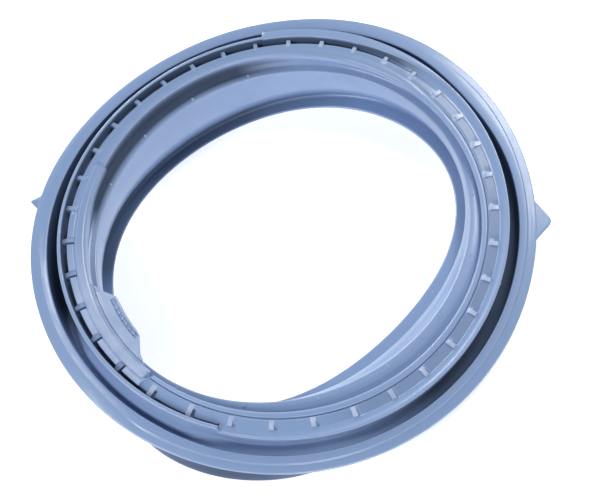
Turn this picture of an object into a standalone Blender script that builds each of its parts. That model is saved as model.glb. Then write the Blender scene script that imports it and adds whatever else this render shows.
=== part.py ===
"""Door seal of a front loading washing machine, one rubber moulding.

Lengths are in metres and +Z is up. The section is drawn round the axis of the ribbed
clamping ring, turned, dressed with ribs, pads, beads, tabs and the drain pocket, and
then leant, so that the soft bellows is deep on one side and folded flat on the other.
Last, the whole moulding is laid on its inner lip, as it comes to rest on a table.
"""
import math

import bmesh
import bpy
import numpy as np
from mathutils import Matrix, Vector

MM = 0.001

# One turn of the section
TURN_STEPS = 72
ARC_STEP = 5.0

# Clamping ring, its channel and its outer lip
RIB_COUNT = 36
RIB_WIDTH = 2.6 * MM
RIB_INNER = 163.4 * MM
RIB_OUTER = 173.4 * MM
RIB_TOP = -2.2 * MM
PAD_INNER = 162.6 * MM
PAD_OUTER = 168.8 * MM
PAD_TOP = -1.2 * MM
PAD_GAP = 1.5
SHOULDER_HEIGHT = -4.4 * MM
CHANNEL_FLOOR = -7.2 * MM
CHANNEL_INNER = 168.2 * MM
LIP_INNER = 175.8 * MM
LIP_OUTER = 178.8 * MM
LIP_TOP = 2.7 * MM
RING_UNDERSIDE = -11.4 * MM
RING_BORE = 160.8 * MM
LAND_START, LAND_END = 258.4, 457.5
LAND_INNER = 172.6 * MM
LAND_LOW = -3.0 * MM

# Outer flange with its step, and its two tabs
FLANGE_RADIUS = 200.8 * MM
FLANGE_TOP = -4.4 * MM
FLANGE_STEP_RADIUS = 194.4 * MM
FLANGE_STEP = 0.9 * MM
FLANGE_UNDERSIDE = -9.4 * MM
FLANGE_INNER = 185.2 * MM
LARGE_TAB = {"angle": -2.0, "half_width": 4.8, "reach": 213.4 * MM, "tip": 1.1}
SMALL_TAB = {"angle": 176.2, "half_width": 2.0, "reach": 209.0 * MM, "tip": 0.4}
TAB_ROOT = FLANGE_RADIUS - 3.8 * MM
TAB_UNDERSIDE = -8.8 * MM
TAB_TOP = -5.2 * MM

# Bellows trough between flange and ring
TROUGH_FLOOR = -23.8 * MM
TROUGH_MIDDLE = (LIP_OUTER + FLANGE_INNER) / 2
TROUGH_BEND = (6.2 * MM, 6.4 * MM)
WALL = 3.2 * MM

# Ledge, bellows wall, fold and sealing lip
LEDGE_INNER = 155.0 * MM
LEDGE_TOP = -14.0 * MM
FOLD_RADIUS = 165.4 * MM
LIP_RING_BORE = 150.8 * MM
LIP_RING_TOP = -50.3 * MM
FLOOR_FACE = -53.2 * MM
BELLOWS_MIDDLE = LEDGE_TOP - 15.0 * MM
BELLOWS_TURN = LEDGE_TOP - 23.0 * MM

# Beads inside the ring, and the flap with its row of studs
RIM_BEAD = {"start": 238.0, "end": 412.0, "inner": 157.6 * MM, "outer": 162.3 * MM}
RIM_BEAD_TOP = -2.0 * MM
BROAD_BEAD = {"start": 164.4, "end": 236.2, "inner": 155.6 * MM, "outer": 162.0 * MM}
BROAD_BEAD_TOP = -0.6 * MM
FLAP_CORNERS = [(202.6, 157.2), (209.4, 142.6), (212.0, 141.8), (223.6, 142.2),
                (226.4, 143.4), (233.0, 156.4)]
FLAP_TOP = -3.4 * MM
FLAP_THICKNESS = 3.0 * MM
SLOT_START, SLOT_END = 211.4, 225.0
SLOT_RADIUS = 145.6 * MM
SLOT_HALF_WIDTH = 1.7 * MM
SLOT_DEPTH = 1.5 * MM
STUD_COUNT = 5
STUD_RADIUS = 0.9 * MM

# Drain pocket, a crescent that hangs from the trough. Each corner is its radius and
# height at the crescent's tips, with what each gains at its middle.
POCKET_START, POCKET_END = 240.0, 286.0
POCKET_SKEW = 0.8
POCKET_FULLNESS = 0.5
POCKET_END_WALL = 1.1
POCKET_OUTSIDE = [(186.8, 0.0, -8.0, 0.0), (188.4, 13.6, -9.6, -0.6), (188.4, 17.4, -14.0, -1.0),
                  (188.4, 16.8, -20.6, -2.0), (188.4, 11.0, -25.0, -4.6), (187.0, 0.5, -25.5, -5.5),
                  (183.6, 0.0, -26.0, -4.5)]
POCKET_INSIDE = [(183.6, 0.0, -10.2, 0.0), (185.0, 13.0, -11.0, -1.2), (185.0, 17.0, -14.4, -1.4),
                 (185.0, 16.6, -19.6, -1.6), (184.8, 10.8, -22.6, -3.6), (184.4, 0.0, -22.4, -3.4),
                 (183.0, 0.0, -21.2, 0.0)]

# How the free rubber lies: direction and slope of the lean, sideways shift, ovalness, and
# the outer parts' waves, which grow over a run of radius
LEAN_ANGLE = 135.0
LEAN_SLOPE = 0.194
LEAN_SHIFT = 8.0 * MM
LEDGE_SHARE = 0.27
LEAN_OVAL = 0.109
OUTWARD_START = 158.0 * MM
OUTWARD_RUN = 30.0 * MM
WAVE_ONE = 1.2 * MM
WAVE_TWO = 2.4 * MM
WAVE_THREE = -2.3 * MM

# How far the soft lip strays from round: its growth, then each wave's count, size and direction
LIP_GROWTH = 4.2 * MM
LIP_WAVES = [(1, 2.8, 230.0), (2, 1.5, 36.0), (3, 2.8, 25.5), (4, 1.9, -3.7)]

# The lean of the trough and its pocket grows with depth alone, outside this radius
TROUGH_EDGE = 173.0 * MM
TROUGH_TOP = -7.0 * MM
TROUGH_DEPTH = 18.6 * MM
TROUGH_SHARE = 0.38

# Middle line of ring and bellows: radius, height, share of the lean, share of the sideways move
MIDDLE_LINE = [
    (176.6, -8.0, 0.0, 0.0), (165.0, -8.0, 0.0, 0.0), (163.8, -11.5, 0.08, 0.08),
    (162.5, -15.0, 0.17, 0.17), (156.8, -15.8, 0.27, 0.27), (156.8, -28.0, 0.5, 0.5),
    (161.0, -40.0, 0.78, 0.78), (166.9, -48.4, 1.0, 1.0), (160.0, -51.8, 1.0, 1.0),
    (151.0, -51.8, 1.0, 1.0),
]


def clear_scene() -> None:
    """Remove every object, so the result doesn't depend on what was there before."""
    for thing in list(bpy.data.objects):
        bpy.data.objects.remove(thing, do_unlink=True)


def named_collection(name: str, parent: bpy.types.Collection = None) -> bpy.types.Collection:
    """Return a new collection, in the scene's own one or in another collection."""
    group = bpy.data.collections.new(name)
    if parent is None:
        parent = bpy.context.scene.collection
    parent.children.link(group)
    return group


def polar(radius: float, degrees: float, height: float) -> Vector:
    """Return the point at a radius, an angle and a height round the ring's axis."""
    angle = math.radians(degrees)
    return Vector((radius * math.cos(angle), radius * math.sin(angle), height))


def section_outline() -> list:
    """Return the closed outline of the section, running down its outer side."""
    arc = []
    for step in range(4):
        angle = math.radians(-14 - 50.6 * step)
        arc.append((TROUGH_MIDDLE + TROUGH_BEND[0] * math.cos(angle),
                    TROUGH_FLOOR + WALL + TROUGH_BEND[1] * math.sin(angle)))
    flange = [
        (FLANGE_RADIUS, FLANGE_TOP - 1.2 * MM),
        (FLANGE_RADIUS, FLANGE_UNDERSIDE + 0.9 * MM),
        (FLANGE_RADIUS - 1.2 * MM, FLANGE_UNDERSIDE),
        (FLANGE_INNER + WALL + 0.8 * MM, FLANGE_UNDERSIDE),
        (FLANGE_INNER + WALL, FLANGE_UNDERSIDE - 1.2 * MM),
    ]
    ring = [
        (LIP_INNER, RING_UNDERSIDE - 0.8 * MM),
        (LIP_INNER - 1.2 * MM, RING_UNDERSIDE),
        (RING_BORE + 6.0 * MM, RING_UNDERSIDE),
        (RING_BORE + 4.6 * MM, RING_UNDERSIDE - 1.6 * MM),
        (RING_BORE + 4.0 * MM, LEDGE_TOP - 2.4 * MM),
        (LEDGE_INNER + WALL + 0.9 * MM, LEDGE_TOP - 3.6 * MM),
    ]
    bellows = [
        (LEDGE_INNER + WALL, LEDGE_TOP - 5.6 * MM),
        (LEDGE_INNER + WALL + 0.2 * MM, BELLOWS_MIDDLE),
        (LEDGE_INNER + 5.6 * MM, BELLOWS_TURN + 0.4 * MM),
        (FOLD_RADIUS - 1.0 * MM, FLOOR_FACE + 10.4 * MM),
        (FOLD_RADIUS + 2.6 * MM, FLOOR_FACE + 6.8 * MM),
        (FOLD_RADIUS + 3.4 * MM, FLOOR_FACE + 3.8 * MM),
        (FOLD_RADIUS + 1.6 * MM, FLOOR_FACE + 0.8 * MM),
        (FOLD_RADIUS - 1.6 * MM, FLOOR_FACE),
        (LIP_RING_BORE + 1.2 * MM, FLOOR_FACE),
        (LIP_RING_BORE, FLOOR_FACE + 1.2 * MM),
        (LIP_RING_BORE + 1.0 * MM, LIP_RING_TOP),
        (FOLD_RADIUS - 3.2 * MM, LIP_RING_TOP),
        (FOLD_RADIUS, LIP_RING_TOP + 2.0 * MM),
        (FOLD_RADIUS - 1.0 * MM, FLOOR_FACE + 6.8 * MM),
        (LEDGE_INNER + 6.0 * MM, FLOOR_FACE + 10.2 * MM),
        (LEDGE_INNER + 2.4 * MM, BELLOWS_TURN),
        (LEDGE_INNER + 0.3 * MM, BELLOWS_MIDDLE),
        (LEDGE_INNER, LEDGE_TOP - 1.4 * MM),
        (LEDGE_INNER + 0.9 * MM, LEDGE_TOP - 0.2 * MM),
        (RING_BORE - 0.4 * MM, LEDGE_TOP + 0.6 * MM),
        (RING_BORE + 1.4 * MM, LEDGE_TOP + 2.4 * MM),
    ]
    channel = [
        (RING_BORE, SHOULDER_HEIGHT - 2.0 * MM),
        (RING_BORE + 0.9 * MM, SHOULDER_HEIGHT),
        (CHANNEL_INNER - 0.5 * MM, SHOULDER_HEIGHT),
        (CHANNEL_INNER, CHANNEL_FLOOR),
        (LIP_INNER - 0.4 * MM, CHANNEL_FLOOR),
        (LIP_INNER, LIP_TOP - 0.9 * MM),
        (LIP_INNER + 0.9 * MM, LIP_TOP),
        (LIP_OUTER - 0.9 * MM, LIP_TOP),
        (LIP_OUTER, LIP_TOP - 0.9 * MM),
    ]
    trough = [
        (LIP_OUTER + 1.3 * MM, TROUGH_FLOOR + 1.8 * MM),
        (TROUGH_MIDDLE, TROUGH_FLOOR),
        (FLANGE_INNER - 1.3 * MM, TROUGH_FLOOR + 1.8 * MM),
        (FLANGE_INNER - 0.2 * MM, TROUGH_FLOOR + 7.0 * MM),
        (FLANGE_INNER, FLANGE_TOP - 3.0 * MM),
        (FLANGE_INNER + 2.6 * MM, FLANGE_TOP - FLANGE_STEP),
        (FLANGE_STEP_RADIUS - 0.6 * MM, FLANGE_TOP - FLANGE_STEP),
        (FLANGE_STEP_RADIUS + 0.4 * MM, FLANGE_TOP),
        (FLANGE_RADIUS - 1.3 * MM, FLANGE_TOP),
    ]
    return flange + arc + ring + bellows + channel + trough


def turned_body(group: bpy.types.Collection) -> bpy.types.Object:
    """Turn the section once round the axis with the Screw tool and make it one mesh."""
    points = section_outline()
    mesh = bpy.data.meshes.new("seal_section")
    corners = [(radius, 0.0, height) for radius, height in points]
    edges = [(index, (index + 1) % len(points)) for index in range(len(points))]
    mesh.from_pydata(corners, edges, [])
    body = bpy.data.objects.new("door_seal", mesh)
    group.objects.link(body)
    turn = body.modifiers.new("turn", "SCREW")
    turn.axis = "Z"
    turn.angle = 2 * math.pi
    turn.steps = TURN_STEPS
    turn.render_steps = TURN_STEPS
    turn.use_merge_vertices = True
    turn.merge_threshold = 0.00001
    turn.use_smooth_shade = False
    bake_modifiers(body)
    return body


def bake_modifiers(body: bpy.types.Object) -> None:
    """Replace an object's mesh by what its modifiers make of it."""
    bpy.context.view_layer.update()
    graph = bpy.context.evaluated_depsgraph_get()
    finished = bpy.data.meshes.new_from_object(body.evaluated_get(graph))
    body.modifiers.clear()
    old = body.data
    body.data = finished
    bpy.data.meshes.remove(old)


def solid_from_rings(name: str, rings: list, group: bpy.types.Collection) -> bpy.types.Object:
    """Join like sections, one after another, into a closed solid with flat ends.

    Each entry of rings is a run of sections of its own, so that one object can hold
    many separate blocks.
    """
    work = bmesh.new()
    for run in rings:
        loops = [[work.verts.new(point) for point in section] for section in run]
        count = len(loops[0])
        for first, second in zip(loops, loops[1:]):
            for index in range(count):
                after = (index + 1) % count
                work.faces.new((first[index], first[after], second[after], second[index]))
        work.faces.new(list(reversed(loops[0])))
        work.faces.new(loops[-1])
    bmesh.ops.recalc_face_normals(work, faces=work.faces)
    mesh = bpy.data.meshes.new(name)
    work.to_mesh(mesh)
    work.free()
    thing = bpy.data.objects.new(name, mesh)
    thing.display_type = "WIRE"
    thing.hide_render = True
    group.objects.link(thing)
    return thing


def arc_angles(start: float, end: float) -> list:
    """Return angles from start to end, with the steps between them on whole facets."""
    angles = [start]
    step = math.ceil(start / ARC_STEP + 0.3) * ARC_STEP
    while step < end - 0.3 * ARC_STEP:
        angles.append(step)
        step += ARC_STEP
    angles.append(end)
    return angles


def arc_run(section: list, start: float, end: float) -> list:
    """Return a section carried along an arc of the ring."""
    return [[polar(radius, degrees, height) for radius, height in section]
            for degrees in arc_angles(start, end)]


def combine(body: bpy.types.Object, tools: bpy.types.Collection, operation: str) -> None:
    """Add all solids of a collection to the body, or take them away, and keep the result."""
    step = body.modifiers.new("step", "BOOLEAN")
    step.operation = operation
    step.solver = "EXACT"
    step.operand_type = "COLLECTION"
    step.collection = tools
    bake_modifiers(body)


def channel_blocks(group: bpy.types.Collection) -> None:
    """Make the ribs across the channel and the raised pads between them."""
    pitch = 360.0 / RIB_COUNT
    ribs = []
    pads = []
    for index in range(RIB_COUNT):
        angle = index * pitch
        turn = Matrix.Rotation(math.radians(angle), 4, "Z")
        half = RIB_WIDTH / 2
        low = CHANNEL_FLOOR - 1.5 * MM
        square = [(-half, low), (half, low), (half, RIB_TOP), (-half, RIB_TOP)]
        ribs.append([[turn @ Vector((radius, across, height)) for across, height in square]
                     for radius in (RIB_INNER, RIB_OUTER)])
        section = [(PAD_INNER, CHANNEL_FLOOR + 1.0 * MM), (PAD_OUTER, CHANNEL_FLOOR - 1.2 * MM),
                   (PAD_OUTER, PAD_TOP - 0.7 * MM),
                   (PAD_OUTER - 0.7 * MM, PAD_TOP), (PAD_INNER + 0.5 * MM, PAD_TOP - 0.9 * MM)]
        pads.append([[polar(radius, degrees, height) for radius, height in section]
                     for degrees in (angle + PAD_GAP, angle + pitch / 2, angle + pitch - PAD_GAP)])
    solid_from_rings("pads", pads, group)
    solid_from_rings("ribs", ribs, group)


def land(group: bpy.types.Collection) -> None:
    """Make the sloping land that fills the outer lip's inner side on half the ring."""
    section = [(LIP_INNER + 1.4 * MM, CHANNEL_FLOOR - 1.3 * MM),
               (LIP_INNER + 1.4 * MM, LIP_TOP - 1.0 * MM),
               (LIP_INNER - 0.6 * MM, LIP_TOP - 1.2 * MM),
               (LAND_INNER, LAND_LOW),
               (LAND_INNER - 0.2 * MM, CHANNEL_FLOOR - 1.3 * MM)]
    solid_from_rings("land", [arc_run(section, LAND_START, LAND_END)], group)


def beads(group: bpy.types.Collection) -> None:
    """Make the slim bead and the broad bead along the ring's inner edge."""
    inner, outer = RIM_BEAD["inner"], RIM_BEAD["outer"]
    slim = [(inner + 1.0 * MM, -6.5 * MM), (outer + 0.2 * MM, -6.9 * MM), (outer, -3.7 * MM),
            (outer - 1.0 * MM, RIM_BEAD_TOP - 0.3 * MM), (inner + 1.9 * MM, RIM_BEAD_TOP),
            (inner + 0.5 * MM, RIM_BEAD_TOP - 1.1 * MM), (inner, RIM_BEAD_TOP - 2.9 * MM)]
    inner, outer = BROAD_BEAD["inner"], BROAD_BEAD["outer"]
    middle = (inner + outer) / 2
    broad = [(inner + 0.6 * MM, -8.2 * MM), (outer, -8.2 * MM), (outer + 0.4 * MM, -3.2 * MM),
             (outer - 1.1 * MM, BROAD_BEAD_TOP - 0.7 * MM), (middle, BROAD_BEAD_TOP),
             (inner + 1.0 * MM, BROAD_BEAD_TOP - 0.9 * MM), (inner, BROAD_BEAD_TOP - 3.2 * MM)]
    solid_from_rings("rim_bead", [arc_run(slim, RIM_BEAD["start"], RIM_BEAD["end"])], group)
    solid_from_rings("broad_bead", [arc_run(broad, BROAD_BEAD["start"], BROAD_BEAD["end"])], group)


def flap(group: bpy.types.Collection) -> None:
    """Make the flat flap that reaches inwards from the broad bead, with its slot and studs."""
    levels = (FLAP_TOP - FLAP_THICKNESS, FLAP_TOP)
    run = [[polar(radius * MM, degrees, height) for degrees, radius in FLAP_CORNERS]
           for height in levels]
    plate = solid_from_rings("flap", [run], group)
    section = [(SLOT_RADIUS - SLOT_HALF_WIDTH, FLAP_TOP - SLOT_DEPTH),
               (SLOT_RADIUS + SLOT_HALF_WIDTH, FLAP_TOP - SLOT_DEPTH),
               (SLOT_RADIUS + SLOT_HALF_WIDTH, FLAP_TOP + 1.0 * MM),
               (SLOT_RADIUS - SLOT_HALF_WIDTH, FLAP_TOP + 1.0 * MM)]
    angles = [SLOT_START, (SLOT_START + SLOT_END) / 2, SLOT_END]
    run = [[polar(radius, degrees, height) for radius, height in section] for degrees in angles]
    slot = named_collection("slot", group)
    solid_from_rings("flap_slot", [run], slot)
    combine(plate, slot, "DIFFERENCE")
    group.children.unlink(slot)
    bpy.data.objects.remove(slot.objects[0], do_unlink=True)
    runs = []
    for index in range(STUD_COUNT):
        angle = SLOT_START + (SLOT_END - SLOT_START) * (index + 1) / (STUD_COUNT + 1)
        centre = polar(SLOT_RADIUS, angle, 0.0)
        stud = []
        for height, size in ((FLAP_TOP - 2.2 * MM, STUD_RADIUS), (FLAP_TOP - 0.5 * MM, 0.7 * STUD_RADIUS)):
            stud.append([centre + Vector((size * math.cos(math.pi * side / 3),
                                          size * math.sin(math.pi * side / 3), height))
                         for side in range(6)])
        runs.append(stud)
    solid_from_rings("studs", runs, group)


def tabs(group: bpy.types.Collection) -> None:
    """Make the two pointed tabs on the flange's edge."""
    runs = []
    for tab in (LARGE_TAB, SMALL_TAB):
        centre, half = tab["angle"], tab["half_width"]
        outline = [(centre - half, TAB_ROOT),
                   (centre - tab["tip"], tab["reach"] - 1.2 * MM), (centre, tab["reach"]),
                   (centre + tab["tip"], tab["reach"] - 1.2 * MM),
                   (centre + half, TAB_ROOT)]
        runs.append([[polar(radius, degrees, height) for degrees, radius in outline]
                     for height in (TAB_UNDERSIDE, TAB_TOP)])
    solid_from_rings("tabs", runs, group)


def pocket(name: str, corners: list, inset: float, group: bpy.types.Collection) -> None:
    """Make the drain pocket's outer form or its hollow, which stops short of its ends."""
    run = []
    count = 10
    start, end = POCKET_START + inset, POCKET_END - inset
    for step in range(count + 1):
        share = (step + 0.3) / (count + 0.6)
        degrees = start + (end - start) * share
        fullness = math.sin(math.pi * share ** POCKET_SKEW) ** POCKET_FULLNESS
        run.append([polar((radius + wider * fullness) * MM, degrees, (height + deeper * fullness) * MM)
                    for radius, wider, height, deeper in corners])
    solid_from_rings(name, [run], group)


def lean_shares(radius: float, height: float) -> np.ndarray:
    """Return a point's two shares of the lean, from its depth or from the middle line."""
    if radius > TROUGH_EDGE:
        sunk = min(max((TROUGH_TOP - height) / TROUGH_DEPTH, 0.0), 1.25)
        return np.array([TROUGH_SHARE * sunk, 0.0])
    line = np.array(MIDDLE_LINE)
    places = line[:, :2] * MM
    shares = line[:, 2:]
    start = places[:-1]
    along = places[1:] - start
    reach = ((np.array([radius, height]) - start) * along).sum(1) / (along ** 2).sum(1)
    reach = np.clip(reach, 0.0, 1.0)
    gap = np.hypot(*(start + along * reach[:, None] - [radius, height]).T)
    nearest = int(gap.argmin())
    return shares[nearest] + reach[nearest] * (shares[nearest + 1] - shares[nearest])


def lie_down(point: Vector) -> Vector:
    """Return where a point of the true round section lies on the free, leaning seal."""
    radius = math.hypot(point.x, point.y)
    angle = math.atan2(point.y, point.x)
    drop, slide = lean_shares(radius, point.z)
    outward = min(max((radius - OUTWARD_START) / OUTWARD_RUN, 0.0), 1.0)
    radius += outward * (WAVE_ONE * math.sin(angle) + WAVE_TWO * math.sin(2 * angle)
                         + WAVE_THREE * math.cos(3 * angle))
    stray = LIP_GROWTH + sum(size * MM * math.cos(count * (angle - math.radians(direction)))
                             for count, size, direction in LIP_WAVES)
    radius += stray * max(slide - LEDGE_SHARE, 0.0) / (1.0 - LEDGE_SHARE)
    lean = math.radians(LEAN_ANGLE)
    along = radius * math.cos(angle - lean)
    across = radius * math.sin(angle - lean)
    along = along * (1 - LEAN_OVAL * (1 - (1 - slide) ** 2)) + slide * LEAN_SHIFT
    height = point.z - drop * LEAN_SLOPE * along
    return Vector((along * math.cos(lean) - across * math.sin(lean),
                   along * math.sin(lean) + across * math.cos(lean), height))


def lay_on_floor(body: bpy.types.Object) -> None:
    """Lean the moulding, turn its lip's underside level and stand it on the floor."""
    lean = math.radians(LEAN_ANGLE)
    upright = Vector((LEAN_SLOPE * math.cos(lean), LEAN_SLOPE * math.sin(lean), 1.0)).normalized()
    level = upright.rotation_difference(Vector((0.0, 0.0, 1.0))).to_matrix()
    for vertex in body.data.vertices:
        vertex.co = level @ lie_down(vertex.co)
    places = np.array([vertex.co for vertex in body.data.vertices])
    low, high = places.min(0), places.max(0)
    centre = Vector(((low[0] + high[0]) / 2, (low[1] + high[1]) / 2, low[2]))
    for vertex in body.data.vertices:
        vertex.co = vertex.co - centre
    body.data.update()


def rubber() -> bpy.types.Material:
    """Return the blue grey rubber of the moulding."""
    material = bpy.data.materials.new("blue_grey_rubber")
    material.use_nodes = True
    shader = material.node_tree.nodes["Principled BSDF"]
    shader.inputs["Base Color"].default_value = (0.262, 0.352, 0.571, 1.0)
    shader.inputs["Roughness"].default_value = 0.42
    return material


def main() -> None:
    """Build the door seal."""
    clear_scene()
    seal = named_collection("door_seal_part")
    cutters = named_collection("cutters")
    cutters.hide_render = True
    additions = named_collection("additions", cutters)
    outer_pocket = named_collection("outer_pocket", cutters)
    hollows = named_collection("hollows", cutters)
    body = turned_body(seal)
    land(additions)
    channel_blocks(additions)
    beads(additions)
    tabs(additions)
    flap(additions)
    pocket("pocket", POCKET_OUTSIDE, 0.0, outer_pocket)
    combine(body, outer_pocket, "UNION")
    pocket("pocket_hollow", POCKET_INSIDE, POCKET_END_WALL, hollows)
    combine(body, hollows, "DIFFERENCE")
    combine(body, additions, "UNION")
    lay_on_floor(body)
    body.data.materials.clear()
    body.data.materials.append(rubber())


main()
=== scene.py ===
"""Looks of a washing machine's door seal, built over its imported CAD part.

The moulding is one closed surface. Its section is a row of corners, each with a rounding, and
the corners change from stretch to stretch of the ring. The section is carried once round the
ring and then laid down as the free rubber lies on a table. Lengths are in millimetres until a
point is placed, where they become metres.
"""
from __future__ import annotations

import logging  # noqa: E402
import math  # noqa: E402
from dataclasses import dataclass, field  # noqa: E402
from enum import Enum  # noqa: E402
from typing import Callable, Union  # noqa: E402

import bpy  # noqa: E402
import numpy as np  # noqa: E402
from mathutils import Matrix, Vector  # noqa: E402


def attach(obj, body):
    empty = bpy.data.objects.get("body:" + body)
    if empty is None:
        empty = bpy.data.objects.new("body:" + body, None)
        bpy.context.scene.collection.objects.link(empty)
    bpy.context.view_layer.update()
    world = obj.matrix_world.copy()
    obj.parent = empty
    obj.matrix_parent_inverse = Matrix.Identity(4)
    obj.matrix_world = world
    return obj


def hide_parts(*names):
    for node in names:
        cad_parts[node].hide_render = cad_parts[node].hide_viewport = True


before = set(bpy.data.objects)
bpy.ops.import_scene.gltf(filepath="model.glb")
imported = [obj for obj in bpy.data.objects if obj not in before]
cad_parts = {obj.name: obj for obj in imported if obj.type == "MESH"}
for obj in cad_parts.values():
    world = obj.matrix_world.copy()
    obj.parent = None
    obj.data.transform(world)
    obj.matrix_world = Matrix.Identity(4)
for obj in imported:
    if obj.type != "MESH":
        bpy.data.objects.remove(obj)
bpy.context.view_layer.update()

NODE = "door_seal"
BODY = "root"
PITCH = 10.0
ROUND_STEPS = 4
SIDE_SHARE = 0.45
CRISP_DEGREES = 42.0
TO_METRES = 0.001

log = logging.getLogger("door_seal_looks")

Number = Union[float, int]
Colour = tuple[float, float, float]
Array = np.ndarray
Piece = bpy.types.Object


class Bead(Enum):
    """What runs along the ring's inner edge."""

    PLAIN = "the pads' band rounds softly down into the bore"
    SLIM = "a slim flat bead behind a fine groove"
    BROAD = "a broad rounded bead"
    BARE = "the bare edge between two beads"


class Channel(Enum):
    """How the ring's clamping channel looks on a stretch."""

    OPEN = "a deep channel outside one unbroken band"
    BLOCKS = "a deep channel outside separate blocks"
    MERGED = "a narrow channel outside one broad flat band"
    FILLED = "a flat land with small bumps"
    RECESS = "a flat land with shallow long recesses between small bumps"
    SLOT = "a narrow slot outside one unbroken band"


class Place(Enum):
    """Where in one rib pitch a section lies."""

    RIB = "on the rib"
    GAP = "beside the rib"
    PAD = "on the pad between two ribs"


@dataclass(frozen=True)
class FreeRubber:
    """How the free moulding lies: its lean, its sideways slide, its oval and its waves."""

    direction: float = 135.0
    slope: float = 0.194
    slide: float = 8.0
    oval: float = 0.109
    ledge_share: float = 0.27
    wave_start: float = 158.0
    wave_run: float = 30.0
    flange_waves: tuple = ((1.2, 1, 90), (2.4, 2, 45), (-2.3, 3, 0))
    lip_growth: float = 4.2
    lip_waves: tuple = ((2.8, 1, 230), (1.5, 2, 36), (2.8, 3, 25.5), (1.9, 4, -3.7))
    trough_edge: float = 173.0
    trough_top: float = -7.0
    trough_depth: float = 18.6
    trough_share: float = 0.38
    middle_line: tuple = (
        (176.6, -8, 0, 0), (165, -8, 0, 0), (163.8, -11.5, 0.08, 0.08),
        (162.5, -15, 0.17, 0.17), (156.8, -15.8, 0.27, 0.27), (156.8, -28, 0.5, 0.5),
        (161, -40, 0.78, 0.78), (166.9, -48.4, 1, 1), (160, -51.8, 1, 1), (151, -51.8, 1, 1),
    )
    centre: tuple = (0.87863, -0.90953, 52.22629)

    def shares(self, radius: Array, height: Array) -> tuple[Array, Array]:
        """Give each point its share of the drop and of the sideways slide.

        They come from the nearest place on the section's middle line. Outside the ring the share
        of the drop grows with the depth alone.

        Args:
            radius: distance from the ring's axis.
            height: height over the ring's datum.

        Returns:
            Two arrays, the share of the drop and the share of the slide.
        """
        line = np.array(self.middle_line)
        start, step = line[:-1, :2], line[1:, :2] - line[:-1, :2]
        point = np.stack([radius, height], -1)[..., None, :]
        reach = np.clip(((point - start) * step).sum(-1) / (step ** 2).sum(-1), 0.0, 1.0)
        gap = np.linalg.norm(start + step * reach[..., None] - point, axis=-1)
        nearest = gap.argmin(-1)
        reach = np.take_along_axis(reach, nearest[..., None], -1)
        found = line[nearest, 2:] + reach * (line[nearest + 1, 2:] - line[nearest, 2:])
        sunk = self.trough_share * np.clip((self.trough_top - height) / self.trough_depth, 0.0, 1.25)
        outside = radius > self.trough_edge
        return np.where(outside, sunk, found[..., 0]), np.where(outside, 0.0, found[..., 1])

    def waves(self, degrees: Array, waves: tuple) -> Array:
        """Sum waves of size times the cosine of count times the turn from a direction."""
        turn = np.radians(degrees)
        return sum(size * np.cos(count * (turn - math.radians(way))) for size, count, way in waves)

    def lay(self, radius: Array, degrees: Array, height: Array) -> Array:
        """Put points of the round section where they lie on the free seal.

        The radius gets the waves, the place along the lean is pressed oval and slides, the
        height drops with the place along the lean, and the whole is turned level.

        Args:
            radius: distance from the ring's axis.
            degrees: angle round the axis.
            height: height over the ring's datum.

        Returns:
            The points in metres, with a last axis of three.
        """
        radius, degrees, height = np.broadcast_arrays(radius, degrees, height)
        drop, slide = self.shares(radius, height)
        outward = np.clip((radius - self.wave_start) / self.wave_run, 0.0, 1.0)
        stray = self.lip_growth + self.waves(degrees, self.lip_waves)
        wide = radius + outward * self.waves(degrees, self.flange_waves)
        wide = wide + stray * np.maximum(slide - self.ledge_share, 0.0) / (1.0 - self.ledge_share)
        turn = np.radians(degrees - self.direction)
        along = wide * np.cos(turn) * (1 - self.oval * (1 - (1 - slide) ** 2)) + slide * self.slide
        across = wide * np.sin(turn)
        tall = height - drop * self.slope * along
        way = math.radians(self.direction)
        x = along * math.cos(way) - across * math.sin(way)
        y = along * math.sin(way) + across * math.cos(way)
        flat = np.stack([x, y, tall], -1)
        return (flat @ self.levelling().T + np.array(self.centre)) * TO_METRES

    def levelling(self) -> Array:
        """Return the turn that makes the lip's underside level."""
        way = math.radians(self.direction)
        upright = Vector((self.slope * math.cos(way), self.slope * math.sin(way), 1.0)).normalized()
        return np.array(upright.rotation_difference(Vector((0.0, 0.0, 1.0))).to_matrix())


FREE = FreeRubber()


def stretch(degrees: Array, start: float, end: float, before: float, after: float) -> Array:
    """Weigh angles by a stretch: one inside it, falling in a straight line to none outside.

    Args:
        degrees: angles round the ring.
        start: angle where the stretch starts.
        end: angle where it ends, more than start.
        before: length in degrees over which the weight rises before the start.
        after: length over which it falls after the end.

    Returns:
        The weights, from none to one.
    """
    past = np.mod(degrees - start, 360.0)
    falling = 1.0 - (past - (end - start)) / after
    rising = 1.0 - (360.0 - past) / before
    return np.where(past <= end - start, 1.0, np.clip(np.maximum(falling, rising), 0.0, 1.0))


def round_corners(corners: Array, steps: int = ROUND_STEPS) -> Array:
    """Replace every corner of closed outlines by a quadratic curve drawn towards the corner.

    It starts and ends on the two sides, a rounding away from the corner or at most SIDE_SHARE of
    the shorter side.

    Args:
        corners: array of outlines by corners by (radius, height, rounding).
        steps: points on each curve.

    Returns:
        Array of outlines by points by (radius, height).
    """
    spot, size = corners[..., :2], corners[..., 2]
    back, ahead = np.roll(spot, 1, -2) - spot, np.roll(spot, -1, -2) - spot
    long_back = np.linalg.norm(back, axis=-1)
    long_ahead = np.linalg.norm(ahead, axis=-1)
    reach = np.minimum(size, SIDE_SHARE * np.minimum(long_back, long_ahead))
    first = spot + back * (reach / long_back)[..., None]
    last = spot + ahead * (reach / long_ahead)[..., None]
    share = np.linspace(0.0, 1.0, steps)[:, None]
    curve = ((1 - share) ** 2 * first[..., None, :] + 2 * share * (1 - share) * spot[..., None, :]
             + share ** 2 * last[..., None, :])
    return curve.reshape(*corners.shape[:-2], -1, 2)


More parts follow.
